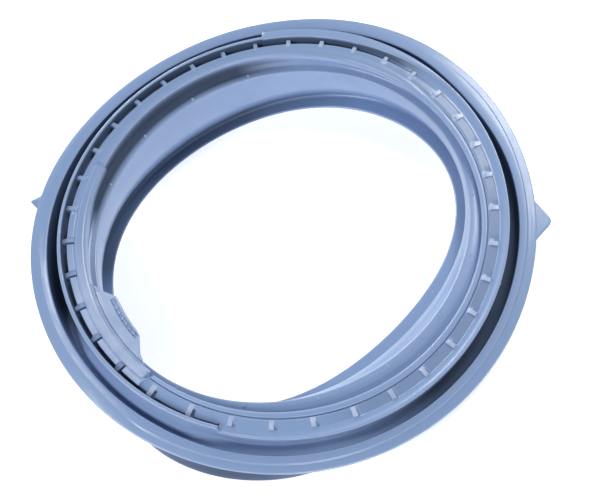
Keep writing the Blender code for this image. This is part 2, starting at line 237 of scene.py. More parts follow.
def wrap_faces(rows: int, columns: int, close_rows: bool) -> Array:
    """Return the four-cornered faces of a grid whose columns close on themselves."""
    row = np.arange(rows if close_rows else rows - 1)[:, None]
    column = np.arange(columns)[None, :]
    below, beside = (row + 1) % rows, (column + 1) % columns
    quads = (row * columns + column, row * columns + beside,
             below * columns + beside, below * columns + column)
    return np.stack(np.broadcast_arrays(*quads), -1).reshape(-1, 4)


def end_faces(rows: int, columns: int) -> list[Array]:
    """Return the two faces that close the first and the last row of such a grid."""
    first = np.arange(columns)[None, :]
    return [first[:, ::-1], first + (rows - 1) * columns]


def polar(x: Array, y: Array) -> tuple[Array, Array]:
    """Return the distance from the axis and the angle round it in degrees."""
    return np.hypot(x, y), np.degrees(np.arctan2(y, x))


def add_object(name: str, data: bpy.types.ID) -> Piece:
    """Add an object to the scene."""
    added = bpy.data.objects.new(name, data)
    bpy.context.scene.collection.objects.link(added)
    return added


def outward(points: Array, polygons: list[Array]) -> list[Array]:
    """Turn all faces round if the volume that they enclose comes out negative."""
    centre = points.mean(0)
    volume = 0.0
    for group in polygons:
        spread = points[group] - centre
        for index in range(1, group.shape[1] - 1):
            volume += np.einsum("ij,ij->i", spread[:, 0],
                                np.cross(spread[:, index], spread[:, index + 1])).sum()
    return polygons if volume > 0 else [group[:, ::-1] for group in polygons]


def put_mesh(name: str, points: Array, polygons: list[Array], values: dict[str, Array],
             chart: Array = None) -> Piece:
    """Make an object from whole arrays of points and faces.

    Args:
        name: the piece's name.
        points: the points in metres.
        polygons: arrays of faces, one for each number of corners.
        values: numbers that a material reads, one for each point.
        chart: two running lengths for each point, for patterns that follow the surface. Without
            it, the points' first two coordinates.

    Returns:
        The new object, linked to the scene.
    """
    polygons = outward(points, polygons)
    mesh = bpy.data.meshes.new(name)
    corners = np.concatenate([group.ravel() for group in polygons]).astype(np.int32)
    sides = np.concatenate([np.full(len(group), group.shape[1]) for group in polygons])
    starts = np.concatenate([[0], sides.cumsum()[:-1]]).astype(np.int32)
    mesh.vertices.add(len(points))
    mesh.vertices.foreach_set("co", points.astype(np.float32).ravel())
    mesh.loops.add(len(corners))
    mesh.loops.foreach_set("vertex_index", corners)
    mesh.polygons.add(len(sides))
    mesh.polygons.foreach_set("loop_start", starts)
    mesh.update(calc_edges=True)
    for title, numbers in values.items():
        layer = mesh.attributes.new(title, "FLOAT", "POINT")
        layer.data.foreach_set("value", numbers.astype(np.float32).ravel())
    chart = points[:, :2] if chart is None else chart
    layer = mesh.attributes.new("chart", "FLOAT_VECTOR", "POINT")
    threefold = np.concatenate([chart, np.zeros((len(chart), 1))], 1)
    layer.data.foreach_set("vector", threefold.astype(np.float32).ravel())
    mesh.validate()
    mesh.shade_smooth()
    mesh.set_sharp_from_angle(angle=math.radians(CRISP_DEGREES))
    return add_object(name, mesh)


def math_method(operation: str, swapped: bool = False) -> Callable:
    """Make an operator of Wire that adds a Math node.

    Args:
        operation: what the node does.
        swapped: whether the other value comes first, as in a reflected operator.

    Returns:
        The method.
    """
    def method(self: Wire, other: Value) -> Wire:
        """Return what the node makes of this and a value."""
        first, second = (other, self) if swapped else (self, other)
        node = self.bench.add("ShaderNodeMath", {"operation": operation}, {0: first, 1: second})
        return self.bench.out(node)

    return method


class Wire:
    """A node's output, on which Python's arithmetic adds Math nodes."""

    __add__, __radd__ = math_method("ADD"), math_method("ADD", True)
    __sub__, __rsub__ = math_method("SUBTRACT"), math_method("SUBTRACT", True)
    __mul__, __rmul__ = math_method("MULTIPLY"), math_method("MULTIPLY", True)
    __gt__ = math_method("GREATER_THAN")

    def __init__(self, bench: Bench, socket: bpy.types.NodeSocket) -> None:
        """Keep the bench and the socket."""
        self.bench = bench
        self.socket = socket

    def between(self, low: float, high: float) -> Wire:
        """Return this, stretched so that low becomes none and high one, and held there."""
        node = self.bench.add("ShaderNodeMapRange", {"clamp": True},
                              {"Value": self, "From Min": low, "From Max": high})
        return self.bench.out(node)


Value = Union[Wire, Number]


class Bench:
    """The node tree of one material, and the one method that adds nodes to it."""

    def __init__(self, name: str) -> None:
        """Start a material with an empty tree and a shader."""
        self.material = bpy.data.materials.new(name)
        self.material.use_nodes = True
        self.tree = self.material.node_tree
        self.tree.nodes.clear()
        self.shader = self.add("ShaderNodeBsdfPrincipled")
        end = self.add("ShaderNodeOutputMaterial")
        self.tree.links.new(self.shader.outputs["BSDF"], end.inputs["Surface"])

    def add(self, kind: str, settings: dict = None, inputs: dict = None) -> bpy.types.Node:
        """Add a node, set it up and give its sockets their values or links.

        Args:
            kind: the node's type.
            settings: its own settings, such as a Math node's operation, set first.
            inputs: a value or a Wire for each socket.

        Returns:
            The new node.
        """
        node = self.tree.nodes.new(kind)
        for title, value in (settings or {}).items():
            setattr(node, title, value)
        self.feed(node, inputs or {})
        return node

    def out(self, node: bpy.types.Node, title: Union[str, int] = 0) -> Wire:
        """Return one of a node's outputs."""
        return Wire(self, node.outputs[title])

    def feed(self, node: bpy.types.Node, inputs: dict) -> None:
        """Give a node's sockets, by name or number, their values or links."""
        for title, value in inputs.items():
            if isinstance(value, Wire):
                self.tree.links.new(value.socket, node.inputs[title])
            else:
                node.inputs[title].default_value = value

    def attribute(self, title: str, part: str = "Fac") -> Wire:
        """Return a value that the mesh carries at each point."""
        return self.out(self.add("ShaderNodeAttribute", {"attribute_name": title}), part)

    def place(self, scale: tuple = (1.0, 1.0, 1.0), chart: bool = False) -> Wire:
        """Return object coordinates, or the surface's own running lengths, scaled."""
        if chart:
            source = self.attribute("chart", "Vector")
        else:
            source = self.out(self.add("ShaderNodeTexCoord"), "Object")
        return self.out(self.add("ShaderNodeMapping", None, {"Vector": source, "Scale": scale}))

    def noise(self, place: Wire, scale: float, detail: float, rough: float = 0.5) -> Wire:
        """Return a noise pattern's value."""
        node = self.add("ShaderNodeTexNoise", None, {"Vector": place, "Scale": scale,
                                                     "Detail": detail, "Roughness": rough})
        return self.out(node, "Fac")

    def blend(self, share: Value, first: Union[Wire, tuple], second: Union[Wire, tuple]) -> Wire:
        """Mix two colours by a share of the second."""
        node = self.add("ShaderNodeMix", {"data_type": "RGBA"},
                        {"Factor": share, 6: first, 7: second})
        return self.out(node, 2)


@dataclass(frozen=True)
class RubberFinish:
    """Blue grey moulded rubber: its colours, gloss, grain, draw marks, pale wear with painted highlights,
    and painted shade.
    """

    name: str = "blue_grey_rubber"
    body: Colour = (0.250, 0.360, 0.590)
    cool: Colour = (0.208, 0.314, 0.540)
    # pale blue: paler wear on outward bends and painted highlights
    pale: Colour = (0.530, 0.610, 0.800)
    speck: Colour = (0.760, 0.820, 0.900)
    # deep blue: painted shade in the trough, the channel, the folds and under edges
    deep: Colour = (0.018, 0.036, 0.078)
    painted_shade_share: float = 0.92
    roughness: float = 0.34
    deep_roughness: float = 0.4
    coat: float = 0.45
    coat_roughness: float = 0.13
    cloud_scale: float = 16.0
    patch_scale: float = 80.0
    grain_scale: float = 1500.0
    draw_scale: tuple = (9.0, 900.0, 1.0)
    speck_scale: float = 95.0
    bare_share: float = 0.86
    speck_radii: tuple = (0.016, 0.05)
    bump_strength: float = 0.22
    bump_depth: float = 0.0002

    def material(self) -> bpy.types.Material:
        """Return the rubber's material.

        The colour drifts between two blues with a broad cloud, goes to a pale blue where the
        mesh's edge value is high, which is paler wear on outward bends and painted highlight, and
        to a deep one where its sunk value, the painted shade, is high, and carries a few pale
        specks. The roughness follows the cloud, fine draw marks that run round the ring and both
        values. The marks with a fine grain give the bump.
        """
        bench = Bench(self.name)
        cloud = bench.noise(bench.place(), self.cloud_scale, 4.0).between(0.3, 0.7)
        patch = bench.noise(bench.place(), self.patch_scale, 3.0).between(0.35, 0.7)
        grain = bench.noise(bench.place(), self.grain_scale, 2.0)
        drawn = bench.noise(bench.place(self.draw_scale, chart=True), 1.0, 2.0)
        edge, sunk = bench.attribute("edge"), bench.attribute("sunk")
        cells = bench.add("ShaderNodeTexVoronoi", {"feature": "F1"},
                          {"Vector": bench.place(), "Scale": self.speck_scale})
        split = bench.add("ShaderNodeSeparateXYZ", None, {"Vector": bench.out(cells, "Color")})
        lucky = bench.out(split) > self.bare_share
        speck = (1.0 - bench.out(cells, "Distance").between(*self.speck_radii)) * lucky
        colour = bench.blend(cloud * 0.55 + patch * 0.25, (*self.body, 1.0), (*self.cool, 1.0))
        # edge value: paler wear on outward bends together with painted highlights
        colour = bench.blend(edge * (0.42 + 0.40 * patch), colour, (*self.pale, 1.0))
        colour = bench.blend(speck * 0.7, colour, (*self.speck, 1.0))
        # sunk value: painted shade, darkening the colour towards the deep blue
        colour = bench.blend(sunk * self.painted_shade_share, colour, (*self.deep, 1.0))
        rough = (self.roughness + 0.10 * (cloud - 0.5) + 0.12 * (drawn - 0.5) + 0.05 * patch
                 + 0.06 * edge + self.deep_roughness * sunk)
        bump = bench.add("ShaderNodeBump", None, {
            "Strength": self.bump_strength, "Distance": self.bump_depth,
            "Height": grain * 0.6 + drawn * 0.8 + patch * 0.5})
        bench.feed(bench.shader, {
            "Base Color": colour, "Roughness": rough, "Normal": bench.out(bump),
            "Coat Weight": self.coat * (1.0 - sunk), "Coat Roughness": self.coat_roughness})
        return bench.material


@dataclass(frozen=True)
class Stray:
    """How a line round the ring strays from its radius, given at some angles."""

    marks: tuple
    soften: int = 7

    def at(self, degrees: Array) -> Array:
        """Return the stray at any angles.

        The marks are joined by straight lines at whole degrees, averaged over a window of
        cosine weights, and read between the degrees.
        """
        whole = np.arange(360.0)
        angles, offsets = np.array(self.marks).T
        line = np.interp(whole, angles, offsets, period=360.0)
        window = np.hanning(2 * self.soften + 3)[1:-1]
        padded = np.concatenate([line[-self.soften:], line, line[:self.soften]])
        soft = np.convolve(padded, window / window.sum(), "valid")
        return np.interp(degrees, whole, soft, period=360.0)


def corner_rows(count: int, corners: tuple) -> Array:
    """Stack corners (radius, height, rounding), each a number or an array of stations."""
    ones = np.ones(count)
    return np.stack([np.stack([part * ones for part in corner], -1) for corner in corners], 1)


@dataclass
class Moulding:
    """The whole ring shaped moulding, from the flange to the lip that it rests on.

    Every corner is (radius, height, rounding). The groups follow each other down the outer side,
    along the lip, up the bellows' inner side, over the bead and the channel to the outer lip,
    down into the trough and out over the flange. Counted from none, they are the edge 0 to 1,
    the underside 2 to 9, the soft part 10 to 29, the bead 30 to 35, the channel 36 to 41, the
    outer lip 42 to 45, the trough 46 to 51 and the top 52 to 54. A stretch is (start, end, fade
    before it, fade after it) in degrees.
    """

    rib_count: int = 36
    rib_half: float = 0.55
    rib_foot: float = 0.72
    gap_end: float = 1.30
    gap_foot: float = 1.45
    pad_steps: tuple = (2.9, 4.6, 6.3, 8, 8.8)
    step_fade: float = 0.3
    least_step: float = 0.045
    chart_radius: float = 170.0
    pocket: tuple = (240, 286)
    pocket_skew: float = 0.8
    pocket_fullness: float = 0.5
    soft_bank: tuple = (222, 250, 18, 12)
    soft_slope: tuple = (262, 284, 12, 26)
    thin_lip: tuple = (97.8, 257.6, 0.3, 0.3)
    high_land: tuple = (70, 97.8, 30, 10)
    ridged_top: tuple = (196, 230, 12, 12)
    stepped_top: tuple = (246, 392, 12, 24)
    # stretches that get painted shade: the lower fold, the outer lip's side over the channel and the wall
    # under the inner edge
    fold_shade: tuple = (110, 188, 45, 14)
    lip_shade: tuple = (56, 257.6, 9, 0.3)
    wall_shade: tuple = (108, 176, 20, 10)
    # stretch of painted highlight on the broad bead's last part
    bead_highlight_stretch: tuple = (208, 236.6, 18, 0.3)
    beads: dict = field(default_factory=lambda: {
        Bead.PLAIN: (52, 164.1, 20, 0.3), Bead.SLIM: (238, 392, 0.3, 20),
        Bead.BROAD: (164.4, 236.6, 0.3, 0.3)})
    channels: dict = field(default_factory=lambda: {
        Channel.OPEN: (97.8, 180, 0.3, 12), Channel.BLOCKS: (192, 236.9, 12, 0.3),
        Channel.MERGED: (237.2, 257.3, 0.3, 0.3), Channel.FILLED: (257.6, 280, 0.3, 15),
        Channel.RECESS: (295, 398, 15, 38), Channel.SLOT: (436, 457.5, 38, 0.3)})
    rib_drift: Stray = Stray(((0, 1), (40, 1), (52, 0.3), (62, 0), (130, 0), (150, -0.3), (162, -1),
        (172, -1.5), (188, -2), (225, -1.9), (236, -1.2), (250, 0.6), (260, 1), (300, 1.1), (312, 0.4),
        (345, 0.1)))
    pad_edge: Stray = Stray(((0, 2), (45, 1.5), (60, 1.1), (80, 0.4), (97, -0.2), (115, -0.6),
        (140, -0.2), (150, 0.2), (160, 0.9), (172, 1.7), (188, 2), (205, 1.7), (232, 1.6), (245, 3),
        (258, 3.2), (300, 2.5)))
    lip_inside: Stray = Stray(((97, 1), (120, 1.2), (185, 1.3), (210, 0.2), (235, -0.6), (256, -0.6),
        (280, 0), (360, 0)))
    land_edge: Stray = Stray(((0, 1.3), (40, 0.8), (60, 1.4), (76, 2.4), (90, 2.9), (98, 2.9), (150, 0),
        (250, -1.2), (262, -1), (275, 0), (295, 1.2), (320, 1.2), (345, 1.3)))
    slot_edge: Stray = Stray(((0, 0), (50, 0), (97, 1.3), (120, 1.3), (200, 0)))
    recess_edge: Stray = Stray(((0, -0.4), (20, -1.1), (40, -1.6), (60, -1.8), (200, 0), (345, 0)))
    groove: Stray = Stray(((0, 0.9), (180, 0), (238, -0.6), (255, 0.2), (270, 1.1), (295, 2), (320, 1.7),
        (345, 1.1)))
    flange_inside: Stray = Stray(((0, 2.5), (12, 1.6), (22, -0.4), (33, -2.8), (42, -1.8), (52, 0.4),
        (62, 0.9), (75, 0.6), (90, 0.2), (100, 0.9), (130, 0.9), (160, 1.3), (182, 1.4), (200, 0.8),
        (220, 0.2), (240, 0.8), (260, 2.3), (280, 2.5), (300, 2.8), (335, 2.9)))
    flange_outside: Stray = Stray(((0, 1), (30, 0.5), (60, 0), (75, -0.7), (90, -2), (122, -2.3),
        (150, -1.5), (170, -0.1), (190, 0), (210, -0.8), (240, 0), (270, 0.1), (300, 0.6), (330, 1.2)))

    def angles(self) -> Array:
        """Return the stations round the ring: rib edges, steps between, ends of stretches."""
        within = np.array([-self.rib_foot, -self.rib_half, self.rib_half, self.rib_foot,
                           self.gap_end, self.gap_foot, *self.pad_steps])
        base = (np.arange(self.rib_count)[:, None] * PITCH + within).ravel()
        spans = (*self.beads.values(), *self.channels.values(), self.thin_lip)
        sharp = [(edge, side) for start, end, before, after in spans
                 for edge, side, fade in ((start, -1.0, before), (end, 1.0, after)) if fade < 1.0]
        extra = [edge + shift for edge, side in sharp for shift in (0.0, side * self.step_fade)]
        start, end = self.pocket
        extra += [start + 0.05, start + 0.3, end - 0.3, end - 0.05]
        found = np.unique(np.round(np.mod(np.concatenate([base, extra]), 360.0), 3))
        keep = np.concatenate([[True], np.diff(found) > self.least_step])
        return found[keep]

    def fullness(self, degrees: Array) -> Array:
        """Return how full the drain pocket is: the root of the sine of half a turn times the share."""
        start, end = self.pocket
        share = np.clip((np.mod(degrees, 360.0) - start) / (end - start), 0.0, 1.0)
        return np.sin(np.pi * share ** self.pocket_skew).clip(0.0) ** self.pocket_fullness

    def places(self, degrees: Array) -> dict:
        """Weigh each angle by rib, gap just after the rib, and pad."""
        within = np.mod(degrees + PITCH / 2, PITCH) - PITCH / 2
        fade = self.rib_foot - self.rib_half
        rib = np.clip((self.rib_foot - np.abs(within)) / fade, 0.0, 1.0)
        gap = np.clip(np.minimum((within - self.rib_half) / fade, (self.gap_foot - within) / fade), 0.0, 1.0)
        return {Place.RIB: rib, Place.GAP: gap, Place.PAD: 1.0 - rib - gap}

    def bead(self, groove: Array) -> dict:
        """Return the corners of the ring's inner edge for each kind of bead."""
        return {
            Bead.PLAIN: ((160, -10.4, 1), (158.8, -8.4, 1), (158.2, -6.4, 2), (158.5, -4.4, 2),
                (159.6, -2.8, 2), (161.8, -2.1, 2)),
            Bead.SLIM: ((160.8, -7.6, 0.8), (158.2, -6.6, 1), (157.5, -4.4, 1.2), (158.6, -2.3, 1.2),
                (161.0 + groove, -2.3, 0.6), (161.6 + groove, -4.2, 0.3)),
            Bead.BROAD: ((160.8, -9.4, 0.8), (157.2, -8.6, 1.2), (156.6, -4.8, 2.4), (158.2, -1.4, 2.6),
                (163.6, -0.3, 2.6), (165.2, -2.1, 0.5)),
            Bead.BARE: ((161.2, -9.6, 0.8), (160.8, -8, 0.8), (160.8, -6.6, 0.8), (160.9, -5.4, 0.6),
                (161.3, -4.7, 0.4), (162, -4.2, 0.4))}

    def channel(self, pad: Array, slot: Array, recess: Array, groove: Array, lip: Array) -> dict:
        """Return the channel's corners for each kind of stretch and place in the pitch.

        Args:
            pad: stray of the pads' outer edge.
            slot: stray of the slot's outer edge.
            recess: stray of the recesses' outer edge.
            groove: stray of the slim bead's groove.
            lip: stray of the thin lip's inner side.

        Returns:
            The corners for each pair of stretch and place.
        """
        outer = 168.8 + pad
        band = ((165.7, -1.9, 0.6), (166.2, -1.7, 0.6), (outer - 0.8, -1.35, 0.5), (outer, -2, 0.35))
        bar = ((165.7, -1.8, 0.2), (166.2, -1.1, 0.4), (outer - 0.8, -0.85, 0.4), (172.2, -1.2, 0.4))
        near = 162.3 + groove
        side = 173.3 + lip
        land = ((near, -3, 0.3), (164.2, -2.6, 0.4))
        deep = ((outer + 0.1, -7.2, 0.5), (side, -7.2, 0.4))
        narrow = ((outer + 0.1, -6.6, 0.4), (172.1 + slot, -6.6, 0.3))
        kinds = {
            Channel.OPEN: (
                band + deep,
                band + deep,
                bar + ((side - 0.4, -1.7, 0.3), (side, -2.4, 0.2))),
            Channel.BLOCKS: (
                ((165.6, -2.4, 0.2), (166.1, -1.5, 0.5), (outer - 0.6, -1, 0.5), (outer, -1.7, 0.3)) + deep,
                ((165.7, -4.2, 0.2), (166.1, -5, 0.3), (168, -5.2, 0.4), (outer, -5.6, 0.3)) + deep,
                ((165.7, -3.6, 0.2), (166, -2.9, 0.3), (168, -2.7, 0.4), (172, -2.7, 0.4),
                    (side - 0.5, -2.9, 0.3), (side, -3.6, 0.2))),
            Channel.MERGED: (
                land + ((167, -2.5, 0.4), (outer - 0.4, -2.4, 0.4), (outer, -4.9, 0.3), (side, -4.9, 0.3)),
                land + ((165.9, -2.6, 0.2), (166.1, -4.4, 0.2), (172, -4.8, 0.3), (side, -6, 0.3)),
                land + ((166.3, -2.3, 0.3), (172.2, -2.2, 0.3), (side - 0.4, -2.5, 0.3),
                    (side, -3.4, 0.2))),
            Channel.FILLED: (
                land + ((166, -2.6, 0.3), (168.6, -2.6, 0.3), (171, -2.6, 0.3), (172.2, -2.6, 0.3)),
                land + ((169, -2.6, 0.2), (169.3, -3.7, 0.2), (171.2, -3.7, 0.2), (171.5, -2.6, 0.2)),
                land + ((166.4, -2.5, 0.3), (166.9, -1.8, 0.4), (170.6, -1.8, 0.4), (171.1, -2.6, 0.3))),
            Channel.RECESS: (
                land + ((166.8, -2.7, 1), (169.6, -2.75, 1.5), (172.2 + recess, -2.8, 0.2),
                    (172.6 + recess, -2.4, 0.25)),
                land + ((166.8, -2.75, 1), (169.6, -2.9, 1.5), (172.2 + recess, -3.1, 0.2),
                    (172.6 + recess, -2.4, 0.25)),
                land + ((165.3, -2.5, 0.2), (165.8, -1.6, 0.4), (171.9, -1.7, 0.4), (172.3, -2.5, 0.2))),
            Channel.SLOT: (
                band + narrow,
                band + narrow,
                bar[:3] + ((171.3 + slot, -1.1, 0.4), (171.9 + slot, -1.6, 0.2),
                    (172.1 + slot, -2.2, 0.2)))}
        order = (Place.PAD, Place.GAP, Place.RIB)
        return {(kind, place): corners for kind, cells in kinds.items()
                for place, corners in zip(order, cells)}

    def outer_lip(self, land: Array, slot: Array, lip: Array) -> dict:
        """Return the corners of the outer lip, thin, as the edge of a low land and thick."""
        edge = 178.8 + land
        return {
            "thin": ((173.4 + lip, -1.6, 0.3), (173.45 + lip, 0.4, 0.4), (173.6 + lip, 2.3, 0.9),
                (176.3 + 0.6 * lip, 2.3, 0.9)),
            "low": ((173, -2.5, 0.8), (175.6, -1.8, 1.5), (edge - 1.8, -0.2, 1), (edge, -0.1, 0.6)),
            "high": ((172.2 + slot, -1.8, 0.3), (172.4 + slot, 0.6, 0.4), (172.9 + slot, 2.2, 0.9),
                (edge, 2.2, 0.9))}

    def corners(self, degrees: Array) -> Array:
        """Return every section's corners, each a weighted sum of its variants.

        Args:
            degrees: the stations round the ring.

        Returns:
            Array of stations by corners by (radius, height, rounding).
        """
        count = len(degrees)
        full = self.fullness(degrees)
        thin, high, ridged, stepped, sloped, banked = (stretch(degrees, *ends) for ends in (
            self.thin_lip, self.high_land, self.ridged_top, self.stepped_top, self.soft_slope,
            self.soft_bank))
        high = high * (1 - thin)
        plain = np.clip(1.0 - ridged - stepped, 0, 1)
        beads = {kind: stretch(degrees, *ends) for kind, ends in self.beads.items()}
        beads[Bead.BARE] = np.clip(1.0 - sum(beads.values()), 0, 1)
        kinds = {kind: stretch(degrees, *ends) for kind, ends in self.channels.items()}
        places = self.places(degrees)
        inside, outside, pad, land, slot, groove, recess, lip = (line.at(degrees) for line in (
            self.flange_inside, self.flange_outside, self.pad_edge, self.land_edge, self.slot_edge,
            self.groove, self.recess_edge, self.lip_inside))
        rim = 200.7 + outside
        edge = {
            "plain": ((rim, -4.5, 1.2), (rim, -9.35, 1)),
            "stepped": ((rim, -5.2, 1.2), (rim, -9.35, 1)),
            "ridged": ((rim, -5.2, 1.3), (rim, -9.35, 1))}
        top = {
            "plain": ((186.5 + inside, -5.1, 0.7), (193, -4.7, 1), (195, -4.5, 1)),
            "stepped": ((186.5 + inside, -4.8, 0.7), (194.3, -4.4, 0.5), (195.2, -5.3, 0.5)),
            "ridged": ((186.5 + inside, -5.2, 0.7), (190.6, -3.5, 0.9), (192.2, -3.6, 1))}
        under = {
            "none": ((188.9 + inside, -9.4, 1.6), (188.8 + inside, -13, 2), (188.6 + inside, -18, 2),
                (188.0 + 0.8 * inside, -23.4, 2.5), (184.8 + 0.4 * inside, -27, 2.5), (179.2, -27, 2.5),
                (175.8, -23.4, 2.5), (175.8, -19.5, 2.5)),
            "full": ((196.8, -9.6, 1.2), (202, -10.8, 2), (205.7, -15, 4), (205.1, -22.6, 5),
                (199.4, -29.5, 5), (187.5, -30.9, 4), (178.6, -26.9, 3), (175.8, -19.5, 2.5))}
        trough = {
            "none": ((180.1, -22, 1.5), (182, -23.8, 1.2), (184.4 + 0.5 * inside, -22, 1.5),
                (185.4 + inside, -18, 1.5), (185.7 + inside, -13, 1.5), (186.0 + inside, -7.6, 1)),
            "full": ((179.8, -22.6, 1.5), (184.6, -25.8, 2.5), (195.6, -26.2, 3), (201.8, -20.6, 3),
                (199.6, -12.4, 2), (186.4 + inside, -9.6, 1)),
            "bank": ((177.6, -2, 2), (180.4, -6.6, 2), (183.2, -10.6, 1.5),
                (185.0 + 0.6 * inside, -13, 1), (185.9 + inside, -11.5, 0.8), (186.1 + inside, -7.6, 0.8)),
            "slope": ((179.3, -15, 1.5), (180.4, -15.6, 1.2), (182, -13.6, 2), (183.6, -11, 2),
                (184.8 + 0.6 * inside, -8.8, 2), (185.9 + inside, -6.6, 1))}
        soft = (
            (175.8, -11.4, 1.5), (166, -11.4, 1.2), (164.9, -16.6, 1), (158.4, -17.4, 2), (158.2, -28, 6),
            (160.8, -36.8, 5), (165.2, -43.4, 4), (168.9, -48.6, 3), (166.6, -53.15, 2.4),
            (150.85, -53.15, 1.1), (151.2, -50.3, 1), (163.6, -50.3, 2.4), (165.6, -47.6, 1.6),
            (161.6, -43.4, 4), (157.4, -37, 5), (155.2, -28, 6), (155, -20, 3), (155, -14.1, 1.4),
            (160.6, -13.3, 1.4), (162.3, -11.4, 1.2))
        tops = {"plain": plain, "stepped": stepped, "ridged": ridged}
        fills = {"none": 1 - full, "full": full}
        rest = np.clip(1.0 - sloped - banked, 0, 1)
        floors = {"none": (1 - full) * rest, "full": full * rest, "slope": sloped, "bank": banked}
        groups = [
            (edge, tops), (under, fills), ({"same": soft}, {"same": np.ones(count)}),
            (self.bead(groove), beads),
            (self.channel(pad, slot, recess, groove, lip),
             {(kind, place): kinds[kind] * places[place] for kind in kinds for place in places}),
            (self.outer_lip(land, slot, lip),
             {"thin": thin, "high": high, "low": np.clip(1 - thin - high, 0, 1)}),
            (trough, floors), (top, tops)]
        rows = []
        for variants, weights in groups:
            total = sum(weights.values())
            rows.append(sum((weights[kind] / total)[:, None, None] * corner_rows(count, variants[kind])
                            for kind in variants))
        return np.concatenate(rows, 1)

    def edge_value(self, section: Array) -> Array:
        """Return how sharply the section turns outwards at each point, from none to 0.55.

        The value is the turn in radians between the sides before and after a point, divided by
        their length together, so a tight outward bend has a high value and a hollow none.
        """
        before = section - np.roll(section, 1, 1)
        after = np.roll(section, -1, 1) - section
        cross = before[..., 0] * after[..., 1] - before[..., 1] * after[..., 0]
        dot = (before * after).sum(-1)
        length = 0.5 * (np.linalg.norm(before, axis=-1) + np.linalg.norm(after, axis=-1))
        bend = -np.arctan2(cross, dot) / np.maximum(length, 0.05)
        return np.clip(bend / 2.0, 0.0, 0.55)

    def painted_shade_value(self, section: Array, degrees: Array) -> Array:
        """Return the painted shade: how far each point's colour goes to the deep blue, from none to one.

        These are places that the photo shows darker than the lamps here leave them: the trough,
        the channel, the lower fold, the side of the outer lip over the channel, the wall under
        the ring's inner edge, the drain pocket's outside and the pads in the recesses. Each but
        the last gets none at one height and its full share at a lower one.
        """
        height, turn = section[..., 1], degrees[:, None]
        corner = np.arange(section.shape[1])[None, :] // ROUND_STEPS
        soft = np.clip(stretch(turn, *self.soft_bank) + 0.8 * stretch(turn, *self.soft_slope), 0.0, 1.0)
        # First and last corner, height of none, height of the full share, share
        parts = (
            ((46, 51), -4.9, -6.8, 1.0 - soft),
            ((36, 41), -3.8, -6.0, 0.8 + 0.0 * turn),
            ((20, 23), -40.0, -46.5, 0.75 * stretch(turn, *self.fold_shade)),
            ((42, 43), 1.6, 0.2, 0.85 * stretch(turn, *self.lip_shade)),
            ((28, 32), -3.6, -7.6, stretch(turn, *self.wall_shade)),
            ((2, 9), -8.0, -11.0, 0.82 * self.fullness(degrees)[:, None]))
        found = np.zeros(height.shape)
        for (first, last), none, full, share in parts:
            here = (corner >= first) & (corner <= last)
            found = np.where(here, share * np.clip((none - height) / (none - full), 0.0, 1.0), found)
        # painted shade on the pads in the recesses
        recess_shade = stretch(turn, *self.channels[Channel.RECESS]) * self.places(turn)[Place.PAD]
        return np.where((corner >= 37) & (corner <= 40), np.maximum(found, 0.26 * recess_shade), found)

    def painted_highlight_value(self, degrees: Array, columns: int) -> Array:
        """Return the painted highlight: how far each point's colour goes to the pale blue, from none to one.

        These are places that the photo shows paler than the lamps here make them: the tops of
        the ribs, less so where the channel is deep, the last part of the broad bead with its
        blocks, and the flange's ridge.
        """
        corner = np.arange(columns)[None, :] // ROUND_STEPS
        deep = sum(stretch(degrees, *self.channels[kind]) for kind in (Channel.OPEN, Channel.BLOCKS))
        bead_highlight = 0.8 * stretch(degrees, *self.bead_highlight_stretch)
        # painted highlights on the rib tops, the broad bead's last part and the flange's ridge
        parts = (((37, 40), self.places(degrees)[Place.RIB] * (1.0 - 0.75 * deep)),
                 ((31, 38), bead_highlight * self.places(degrees)[Place.PAD]),
                 ((31, 35), bead_highlight),
                 ((53, 53), 0.8 * stretch(degrees, *self.ridged_top)))
        found = np.zeros((len(degrees), columns))
        for (first, last), share in parts:
            here = (corner >= first) & (corner <= last)
            found = np.where(here, np.maximum(found, share[:, None]), found)
        return found

    def build(self) -> list[Piece]:
        """Carry the rounded section round the ring and lay it down."""
        degrees = self.angles()
        section = round_corners(self.corners(degrees))
        placed = (degrees + self.rib_drift.at(degrees))[:, None]
        points = FREE.lay(section[..., 0], placed, section[..., 1])
        rows, columns = points.shape[:2]
        side = np.linalg.norm(np.diff(section, axis=1, append=section[:, :1]), axis=-1)
        run = np.cumsum(side, 1) - side
        way = np.radians(degrees)[:, None] * self.chart_radius + 0.0 * run
        chart = np.stack([way, run], -1).reshape(-1, 2) * TO_METRES
        # edge holds paler wear on outward bends and painted highlights; sunk holds painted shade
        values = {"edge": np.maximum(self.edge_value(section), self.painted_highlight_value(degrees, columns)),
                  "sunk": self.painted_shade_value(section, degrees)}
        return [put_mesh("seal_moulding", points.reshape(-1, 3), [wrap_faces(rows, columns, True)],
                         values, chart)]


def plate(name: str, outline: Array, levels: list, centre: tuple) -> Piece:
    """Make a flat moulded plate with rounded edges.

    The outline is drawn in towards a centre at each level, and the rings so made are closed by
    flat ends.

    Args:
        name: the piece's name.
        outline: corners (radius, degrees).
        levels: pairs (inset in millimetres, height).
        centre: middle of the plate as (radius, degrees).

    Returns:
        The new object.
    """
    turn = np.radians(outline[:, 1])
    flat = np.stack([outline[:, 0] * np.cos(turn), outline[:, 0] * np.sin(turn)], -1)
    middle = centre[0] * np.array([math.cos(math.radians(centre[1])), math.sin(math.radians(centre[1]))])
    out = flat - middle
    far = np.linalg.norm(out, axis=-1, keepdims=True)
    rings = []
    for inset, height in levels:
        spot = middle + out * np.maximum(1.0 - inset / far, 0.05)
        rings.append(FREE.lay(*polar(spot[:, 0], spot[:, 1]), height))
    points = np.concatenate(rings)
    count = len(outline)
    faces = [wrap_faces(len(levels), count, False)] + end_faces(len(levels), count)
    return put_mesh(name, points, faces, {"edge": np.zeros(len(points))})


